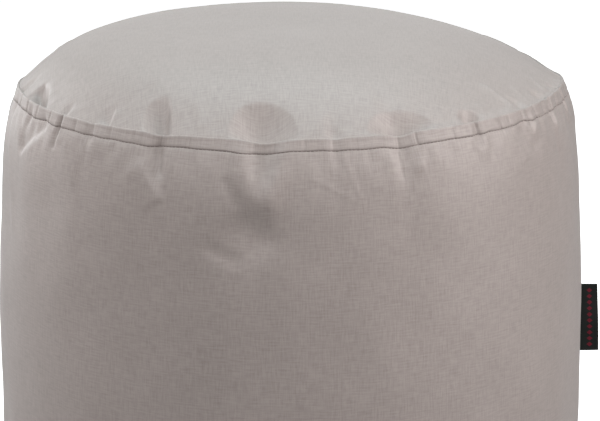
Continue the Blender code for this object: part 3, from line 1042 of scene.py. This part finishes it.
@dataclass(frozen=True)
class WovenTape:
    """Damask-woven satin tape, black, with a column of plain lozenges woven in dark red.

    To the eye it is nearly black with a slight gloss, and the lozenges only just show. Its picks
    are about 0.2 mm apart, and are drawn at pick_pitch to show.
    """

    name: str = "woven_label_tape"
    ground: str = "#0A0F0D"
    edge: str = "#1C211F"
    figure: str = "#6A1426"
    lozenges: int = 10
    margin: float = 3.0 * MM  # plain tape above and below the column
    lozenge_height: float = 4.2 * MM
    lozenge_width: float = 4.4 * MM
    pick_pitch: float = 0.6 * MM
    pick_length: float = 3.6 * MM
    relief: float = 0.1 * MM
    roughness: float = 0.5
    specular: float = 0.35

    def make(self, tape: "SideLabel") -> bpy.types.Material:
        """Builds the material.

        The lozenges are where the distance down from a lozenge's middle and the distance
        aside from the column, each as a share of the half size, add up to less than 1.

        Args:
            tape: The label, whose sizes place the column of lozenges on both its faces.

        Returns:
            The material.
        """
        material, nodes = new_material(self.name)
        uv = nodes.add("UVMap", uv_map="cut")
        along, down = nodes.add("SeparateXYZ", {0: uv}).outputs[:2]

        def distance(source: Source, place: float) -> bpy.types.Node:
            """How far a coordinate lies from a place, to either side."""
            off = nodes.add("Math", {0: source}, operation="SUBTRACT", in_1=place)
            return nodes.add("Math", {0: off}, operation="ABSOLUTE")

        from_fold = distance(along, tape.reach_top + tape.tuck)
        from_column = distance(from_fold, tape.reach_top / 2)
        half_width = self.lozenge_width / 2
        aside_share = nodes.add("Math", {0: from_column}, operation="DIVIDE", in_1=half_width)
        pitch = (tape.height - 2 * self.margin) / self.lozenges
        past_margin = nodes.add("Math", {0: down}, operation="SUBTRACT", in_1=self.margin)
        turns = nodes.add("Math", {0: past_margin}, operation="DIVIDE", in_1=pitch)
        from_middle = distance(nodes.add("Math", {0: turns}, operation="FRACT"), 0.5)
        per_turn = 2 * pitch / self.lozenge_height
        down_share = nodes.add("Math", {0: from_middle}, operation="MULTIPLY", in_1=per_turn)
        share = nodes.add("Math", {0: aside_share, 1: down_share}, operation="ADD")
        in_lozenge = nodes.add("Math", {0: share}, operation="LESS_THAN", in_1=1.0)
        from_centre = distance(down, tape.height / 2)
        half_column = tape.height / 2 - self.margin
        in_column = nodes.add("Math", {0: from_centre}, operation="LESS_THAN", in_1=half_column)
        inside = nodes.add("Math", {0: in_lozenge, 1: in_column}, operation="MULTIPLY")
        place = nodes.add("Mapping", {"Vector": uv}, Scale=(1 / self.pick_length, 1 / self.pick_pitch, 1.0))
        weave = nodes.add("TexNoise", {"Vector": place}, Scale=1.0, Detail=1.0)
        dark, light = hex_colour(self.ground), hex_colour(self.edge)
        ground = nodes.add("Mix", {0: weave}, data_type="RGBA", in_6=dark, in_7=light).outputs[2]
        links = {0: inside, 6: ground}
        colour = nodes.add("Mix", links, data_type="RGBA", in_7=hex_colour(self.figure)).outputs[2]
        bump = nodes.add("Bump", {"Height": weave}, Strength=1.0, Distance=self.relief)
        links = {"Base Color": colour, "Normal": bump}
        finish = {"Roughness": self.roughness, "Specular IOR Level": self.specular}
        shader = nodes.add("BsdfPrincipled", links, **finish)
        nodes.add("OutputMaterial", {"Surface": shader})
        return material


def dress(piece: bpy.types.Object, material: bpy.types.Material, node: str | None) -> None:
    """Gives a piece its finish and its body, and hides the solid that it replaces.

    Args:
        piece: The piece.
        material: Its finish.
        node: The solid that the piece replaces, or None for one that it only adds to.
    """
    piece.data.materials.append(material)
    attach(piece, BODY)
    if node:
        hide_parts(node)
    log.info("%s: %d faces", piece.name, len(piece.data.polygons))


@dataclass(frozen=True)
class TopPanel:
    """The crowned round top, which closes out of sight below its seam."""

    front_columns: int = 400
    back_columns: int = 240
    clearance: float = 0.0006  # from the side panel's own closing ring
    hub_rise: float = 0.00002  # of the crown's middle above the first ring

    def build(self, cloth: bpy.types.Material) -> bpy.types.Object:
        """Builds and dresses the panel as rings from the axis out to the seam.

        Args:
            cloth: The canvas.

        Returns:
            The finished piece.
        """
        angles = columns(self.front_columns, self.back_columns, pleats=True)
        inwards = np.array(spaced(TOP_ROWS)[::-1])
        closing = DRUM.closing_ring(angles, above=self.clearance)
        rings = np.concatenate([DRUM.top(angles, inwards), closing])
        cut = round_cut(angles, cut_lengths(rings) + DRUM.seam_diameter / 2 - inwards[0])
        crown = rings[0, :, 2].mean() + self.hub_rise
        seat = DRUM.seam_height - DRUM.closing_drop + self.clearance
        piece = closed_rings("top_panel_cloth", rings, cut, crown, seat)
        dress(piece, cloth, "top_panel")
        return piece


@dataclass(frozen=True)
class SidePanel:
    """The filled drum between its two seams, with the turned allowances at both."""

    front_columns: int = 400
    back_columns: int = 186
    clearance: float = 0.0010  # of its lower end above the base seam

    def rows(self) -> Array:
        """Distances below the top seam of all rows, closest at the two topstitched bands.

        Returns:
            The distances in metres, from the top seam to the base seam.
        """
        band = [MM * row.distance for row in ALLOWANCE_SECTION]
        foot = [DRUM.wall_height - distance for distance in band[::-1]]
        return np.array(band[:-1] + spaced(WALL_ROWS)[:-1] + foot)

    def build(self, cloth: bpy.types.Material) -> bpy.types.Object:
        """Builds and dresses the panel as rings from the top seam down to the base seam.

        Args:
            cloth: The canvas.

        Returns:
            The finished piece.
        """
        angles = columns(self.front_columns, self.back_columns, pleats=True)
        wall = DRUM.wall(angles, self.rows())
        rings = np.concatenate([DRUM.closing_ring(angles, above=0.0), wall])
        round_drum = np.radians(np.append(angles, angles[0] + FULL_TURN)) * DRUM.body_diameter / 2
        flat = np.broadcast_arrays(round_drum[None, :], cut_lengths(rings)[:, None])
        head = DRUM.seam_height - DRUM.closing_drop
        foot = DRUM.base_seam_height + self.clearance
        piece = closed_rings("side_panel_cloth", rings, np.stack(flat, axis=-1), head, foot)
        dress(piece, cloth, "side_panel")
        return piece


@dataclass(frozen=True)
class BasePanel:
    """The round underside, flat on the floor and turned up at its rim to the base seam."""

    half_columns: int = 180
    rim_rows: int = 9
    flat_rows: int = 12
    clearance: float = 0.0003  # below the side panel
    inset: float = 0.0004  # of its rim from the seam
    hub_radius: float = 0.012

    def build(self, cloth: bpy.types.Material) -> bpy.types.Object:
        """Builds and dresses the panel: a quarter of an ellipse down to the flat, then the flat.

        Args:
            cloth: The canvas.

        Returns:
            The finished piece.
        """
        angles = columns(self.half_columns, self.half_columns, pleats=False)
        flat = DRUM.base_flat_diameter / 2
        turn = np.linspace(0.0, math.pi / 2, self.rim_rows)[:, None]
        top = DRUM.base_seam_height + DRUM.sag(angles, BASE_SEAM_GATHERS)[None, :] - self.clearance
        radius = flat + (DRUM.base_seam_diameter / 2 - self.inset - flat) * np.cos(turn)
        rim = polar(angles[None, :], radius, top * (1.0 - np.sin(turn)))
        inner = np.linspace(flat, self.hub_radius, self.flat_rows)[1:, None]
        rings = np.concatenate([rim, polar(angles[None, :], inner, np.zeros((1, 1)))])
        cut = round_cut(angles, cut_lengths(rings)[::-1] + self.hub_radius)
        lid = DRUM.base_seam_height - self.clearance
        piece = closed_rings("base_panel_cloth", rings, cut, lid, 0.0)
        dress(piece, cloth, "base_panel")
        return piece


class Seam(Enum):
    """Which topstitched seam a row of stitches belongs to."""

    TOP = "top"
    BASE = "base"


@dataclass(frozen=True)
class StitchRow:
    """One round of topstitching: a lockstitch's thread between its needle holes."""

    seam: Seam
    stitch_length: float = 3.3 * MM
    gap: float = 0.5 * MM
    thread: float = 0.26 * MM  # radius
    sides: int = 6
    sections: int = 5
    span: float = 0.97  # of the arch's whole ellipse that shows
    rise: float = 1.3  # height of the arch, in radii of the thread
    sink: float = 0.7  # how deep its feet lie, in radii of the thread
    taper: float = 0.45  # radius of its feet, in radii of the thread

    def lines(self, count: int) -> Array:
        """Places of all stitches' sections on the stitched line.

        Args:
            count: How many stitches the round has.

        Returns:
            An array of stitches by sections by x, y and z.
        """
        share = np.linspace(-0.5, 0.5, self.sections) * (1 - self.gap / self.stitch_length)
        angles = (np.arange(count)[:, None] + 0.5 + share[None, :]) * FULL_TURN / count
        drop = DRUM.band if self.seam is Seam.TOP else DRUM.wall_height - DRUM.band
        return DRUM.wall(angles.ravel(), np.array([drop]))[0].reshape(count, self.sections, 3)

    def build(self, material: bpy.types.Material) -> bpy.types.Object:
        """Builds all stitches of the round as short tubes that dive into the cloth at both ends.

        Each stitch is an ellipse's arch over the stitched line: its sections lie along the
        line, sink at both ends and taper there.

        Args:
            material: The thread.

        Returns:
            The finished piece.
        """
        radius = float(DRUM.wall_radius(DRUM.band)[0])
        count = round(2 * math.pi * radius / self.stitch_length)
        line = self.lines(count)
        outward = line * np.array([1.0, 1.0, 0.0])
        outward /= np.linalg.norm(outward, axis=-1, keepdims=True)
        arch = np.sqrt(1.0 - (np.linspace(-1.0, 1.0, self.sections) * self.span) ** 2)
        lift = self.thread * (arch * self.rise - self.sink)
        centre = line + outward * lift[None, :, None]
        around = (np.arange(self.sides) * 2 * math.pi / self.sides)[None, None, :, None]
        ring = outward[:, :, None, :] * np.cos(around) + np.array([0.0, 0.0, 1.0]) * np.sin(around)
        girth = self.thread * (self.taper + (1.0 - self.taper) * arch)
        points = centre[:, :, None, :] + ring * girth[None, :, None, None]
        base = np.arange(count)[:, None, None] * self.sections * self.sides
        row, side = np.meshgrid(np.arange(self.sections - 1), np.arange(self.sides), indexing="ij")
        steps = ((0, 0), (0, 1), (1, 1), (1, 0))
        quads = [base + (row + along) * self.sides + (side + turn) % self.sides for along, turn in steps]
        starts = base[:, 0] + np.arange(self.sides)[::-1]
        ends = base[:, 0] + (self.sections - 1) * self.sides + np.arange(self.sides)
        corners = np.concatenate([np.stack(quads, axis=-1).ravel(), starts.ravel(), ends.ravel()])
        totals = np.concatenate([np.full(quads[0].size, 4), np.full(2 * count, self.sides)])
        name = f"{self.seam.value}_seam_stitches"
        piece = add_piece(name, points.reshape(-1, 3), corners, totals, np.zeros((len(corners), 2)))
        dress(piece, material, None)
        return piece


@dataclass(frozen=True)
class SideLabel:
    """The tape folded in half across its width, both its ends caught in the upright seam."""

    top_z: float = 0.2200
    height: float = 0.0600
    reach_top: float = 0.0153  # how far it stands out of the seam at its upper edge
    reach_foot: float = 0.0172  # and at its lower edge
    tuck: float = 0.0016  # how far it runs on into the seam
    layer: float = 0.00042  # thickness of the tape
    parting: float = 0.00016  # half the gap between the two layers
    wave: float = 0.0009  # how far its free end bends aside
    waves: float = 1.2  # down its height
    rows: int = 60
    across: int = 10
    turn_steps: int = 8

    def section(self) -> tuple[Array, Array]:
        """The folded tape's two faces: straight, half a turn round the fold, and back.

        Returns:
            Points of the outer face, then of the inner face, each a row of the share of the
            reach, metres past it and metres across.
        """
        shares = np.linspace(0.0, 1.0, self.across)
        turn = np.linspace(-math.pi / 2, math.pi / 2, self.turn_steps)
        faces = []
        for half in (self.parting + self.layer, self.parting):
            past = half * np.cos(turn) - self.layer
            bend = np.column_stack([np.ones(self.turn_steps), past, half * np.sin(turn)])
            front = np.column_stack([shares, -self.layer * shares, np.full(self.across, -half)])
            back = front[::-1] * np.array([1.0, 1.0, -1.0])
            faces.append(np.concatenate([front[:-1], bend, back[1:]]))
        return faces[0], faces[1]

    def build(self, material: bpy.types.Material) -> bpy.types.Object:
        """Builds and dresses the label as its folded section carried down the seam.

        Args:
            material: The woven tape.

        Returns:
            The finished piece.
        """
        down = np.linspace(0.0, 1.0, self.rows)[:, None]
        height = self.top_z - self.height * down
        start = DRUM.wall_radius(DRUM.seam_height - height) - self.tuck
        reach = self.reach_top + (self.reach_foot - self.reach_top) * down + self.tuck
        faces, lengths = [], []
        for face in self.section():
            out, past, aside = face.T
            x = start + reach * out + past
            bend = self.wave * out**2 * np.sin(self.waves * 2 * math.pi * down)
            faces.append(np.stack(np.broadcast_arrays(x, aside + bend, height), axis=-1))
            step = np.hypot(np.diff(out) * self.reach_top, np.diff(aside))
            lengths.append(np.concatenate([[0.0], np.cumsum(step)]))
        count = faces[0].shape[1]
        points = np.concatenate([face.reshape(-1, 3) for face in faces])
        outer = np.arange(self.rows * count).reshape(self.rows, count)
        inner = outer + self.rows * count
        patches = [
            (outer[:-1, :-1], outer[1:, :-1], outer[1:, 1:], outer[:-1, 1:]),
            (inner[:-1, :-1], inner[:-1, 1:], inner[1:, 1:], inner[1:, :-1]),
            (outer[0, :-1], outer[0, 1:], inner[0, 1:], inner[0, :-1]),
            (outer[-1, :-1], inner[-1, :-1], inner[-1, 1:], outer[-1, 1:]),
            (outer[:-1, 0], inner[:-1, 0], inner[1:, 0], outer[1:, 0]),
            (outer[:-1, -1], outer[1:, -1], inner[1:, -1], inner[:-1, -1]),
        ]
        quads = np.concatenate([np.stack(patch, axis=-1).reshape(-1, 4) for patch in patches])
        u = np.concatenate([np.tile(length, self.rows) for length in lengths])
        v = np.tile(np.repeat(self.height * down[:, 0], count), 2)
        pattern = np.column_stack([u, v])[quads.ravel()]
        totals = np.full(len(quads), 4)
        piece = add_piece("side_label_tape", points, quads.ravel(), totals, pattern)
        dress(piece, material, "side_label")
        return piece


# Tints of the soft boxes' light.
WARM = "#FFF7F5"
NEUTRAL = "#FFFFFF"
COOL = "#E5FBFF"
WHITE = (1.0, 1.0, 1.0, 1.0)


class SoftBox(NamedTuple):
    """A rectangle of soft studio light, with its place, its aim and its sizes in metres."""

    name: str
    place: tuple[float, float, float]
    aim: tuple[float, float, float]
    width: float
    height: float
    power: float  # watts
    colour: str


@dataclass(frozen=True)
class Studio:
    """The camera, the pale floor and the soft light."""

    focal_px: float = 2914.8  # in pixels of the picture
    picture_width: int = 600
    sensor: float = 36.0
    elevation: float = 0.25585  # radians
    distance: float = 2.5
    aim: tuple[float, float, float] = (0.00813, 0.0, 0.28536)
    floor_size: float = 30.0
    floor_drop: float = 0.0003  # below the base
    floor_glow: float = 0.78  # keeps the floor white to the camera without lighting the cloth
    floor_seen: str = "#FAFAFA"
    floor_bounce: str = "#8C8C8C"  # what the cloth gets back from the floor
    surround: float = 0.005
    boxes: tuple[SoftBox, ...] = (
        # name, place, aim, width, height, power, colour
        SoftBox("back_high", (0.0, 1.0, 2.3), (0.0, 0.0, 0.4), 1.8, 1.4, 12.5, COOL),
        SoftBox("front", (0.0, -2.6, 1.2), (0.0, 0.0, 0.25), 1.4, 1.0, 9.5, WARM),
        SoftBox("key_left", (-1.3, -2.0, 1.6), (0.0, 0.0, 0.3), 1.2, 1.2, 17.5, WARM),
        SoftBox("key_right", (1.3, -2.0, 1.6), (0.0, 0.0, 0.3), 1.2, 1.2, 14.0, NEUTRAL),
        SoftBox("left_back", (-1.5, 1.5, 0.8), (-0.2, 0.0, 0.25), 0.6, 1.4, 12.0, NEUTRAL),
        SoftBox("left_high", (-1.6, -0.3, 1.8), (0.0, 0.0, 0.35), 1.2, 1.2, 13.0, NEUTRAL),
        SoftBox("left_rim", (-1.8, 0.5, 0.7), (-0.2, 0.0, 0.25), 0.8, 1.6, 11.0, WARM),
        SoftBox("overhead", (0.0, 0.0, 2.2), (0.0, 0.0, 0.4), 1.8, 1.8, 12.5, COOL),
        SoftBox("right_high", (1.6, -0.3, 1.8), (0.0, 0.0, 0.35), 1.2, 1.2, 19.5, WARM),
        SoftBox("right_side", (2.0, -0.6, 0.8), (0.2, 0.0, 0.25), 0.8, 1.2, 15.5, WARM),
    )

    def set_camera(self) -> None:
        """Places the camera where the picture was taken from."""
        data = bpy.data.cameras.new("camera")
        data.sensor_width = self.sensor
        data.lens = self.focal_px * self.sensor / self.picture_width
        camera = bpy.data.objects.new("camera", data)
        back = Vector((0.0, -math.cos(self.elevation), math.sin(self.elevation)))
        camera.location = Vector(self.aim) + back * self.distance
        camera.rotation_euler = (math.pi / 2 - self.elevation, 0.0, 0.0)
        bpy.context.scene.collection.objects.link(camera)
        bpy.context.scene.camera = camera

    def lay_floor(self) -> None:
        """Lays a wide pale floor, a little below the base, which is white to the camera."""
        half = self.floor_size / 2
        corners = [(-half, -half), (half, -half), (half, half), (-half, half)]
        mesh = bpy.data.meshes.new("floor")
        mesh.from_pydata([(x, y, -self.floor_drop) for x, y in corners], [], [(0, 1, 2, 3)])
        floor = bpy.data.objects.new("floor", mesh)
        bpy.context.scene.collection.objects.link(floor)
        material, nodes = new_material("studio_floor")
        seen = nodes.add("BsdfPrincipled", Roughness=1.0, Emission_Strength=self.floor_glow)
        seen.inputs["Base Color"].default_value = hex_colour(self.floor_seen)
        seen.inputs["Emission Color"].default_value = WHITE
        bounced = nodes.add("BsdfDiffuse", Color=hex_colour(self.floor_bounce))
        to_camera = nodes.add("LightPath").outputs["Is Camera Ray"]
        mixed = nodes.add("MixShader", {0: to_camera, 1: bounced, 2: seen})
        nodes.add("OutputMaterial", {"Surface": mixed})
        mesh.materials.append(material)

    def hang_lights(self) -> None:
        """Hangs the soft boxes, each turned to its aim."""
        for box in self.boxes:
            data = bpy.data.lights.new(box.name, "AREA")
            data.shape = "RECTANGLE"
            data.size, data.size_y, data.energy = box.width, box.height, box.power
            data.color = hex_colour(box.colour)[:3]
            light = bpy.data.objects.new(box.name, data)
            light.location = box.place
            light.rotation_mode = "QUATERNION"
            facing = Vector(box.aim) - Vector(box.place)
            light.rotation_quaternion = facing.to_track_quat("-Z", "Y")
            bpy.context.scene.collection.objects.link(light)

    def set_surround(self) -> None:
        """Sets the surroundings: white to the camera, and a very faint even light."""
        world = bpy.data.worlds.new("studio_surround")
        world.use_nodes = True
        world.node_tree.nodes.clear()
        nodes = NodeMaker(world.node_tree)
        seen = nodes.add("Background", Color=WHITE, Strength=1.0)
        ambient = nodes.add("Background", Color=WHITE, Strength=self.surround)
        to_camera = nodes.add("LightPath").outputs["Is Camera Ray"]
        mixed = nodes.add("MixShader", {0: to_camera, 1: ambient, 2: seen})
        nodes.add("OutputWorld", {"Surface": mixed})
        bpy.context.scene.world = world
        bpy.context.scene.view_settings.view_transform = "Standard"


def main() -> None:
    """Builds the studio and the footstool's pieces in order."""
    logging.basicConfig(level=logging.INFO, format="%(name)s: %(message)s")
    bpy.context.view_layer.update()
    studio = Studio()
    studio.set_camera()
    studio.lay_floor()
    studio.hang_lights()
    studio.set_surround()
    cloth = WovenCloth().make()
    thread = SewingThread().make()
    TopPanel().build(cloth)
    SidePanel().build(cloth)
    BasePanel().build(cloth)
    for seam in Seam:
        StitchRow(seam).build(thread)
    label = SideLabel()
    label.build(WovenTape().make(label))


if __name__ == "__main__":
    main()
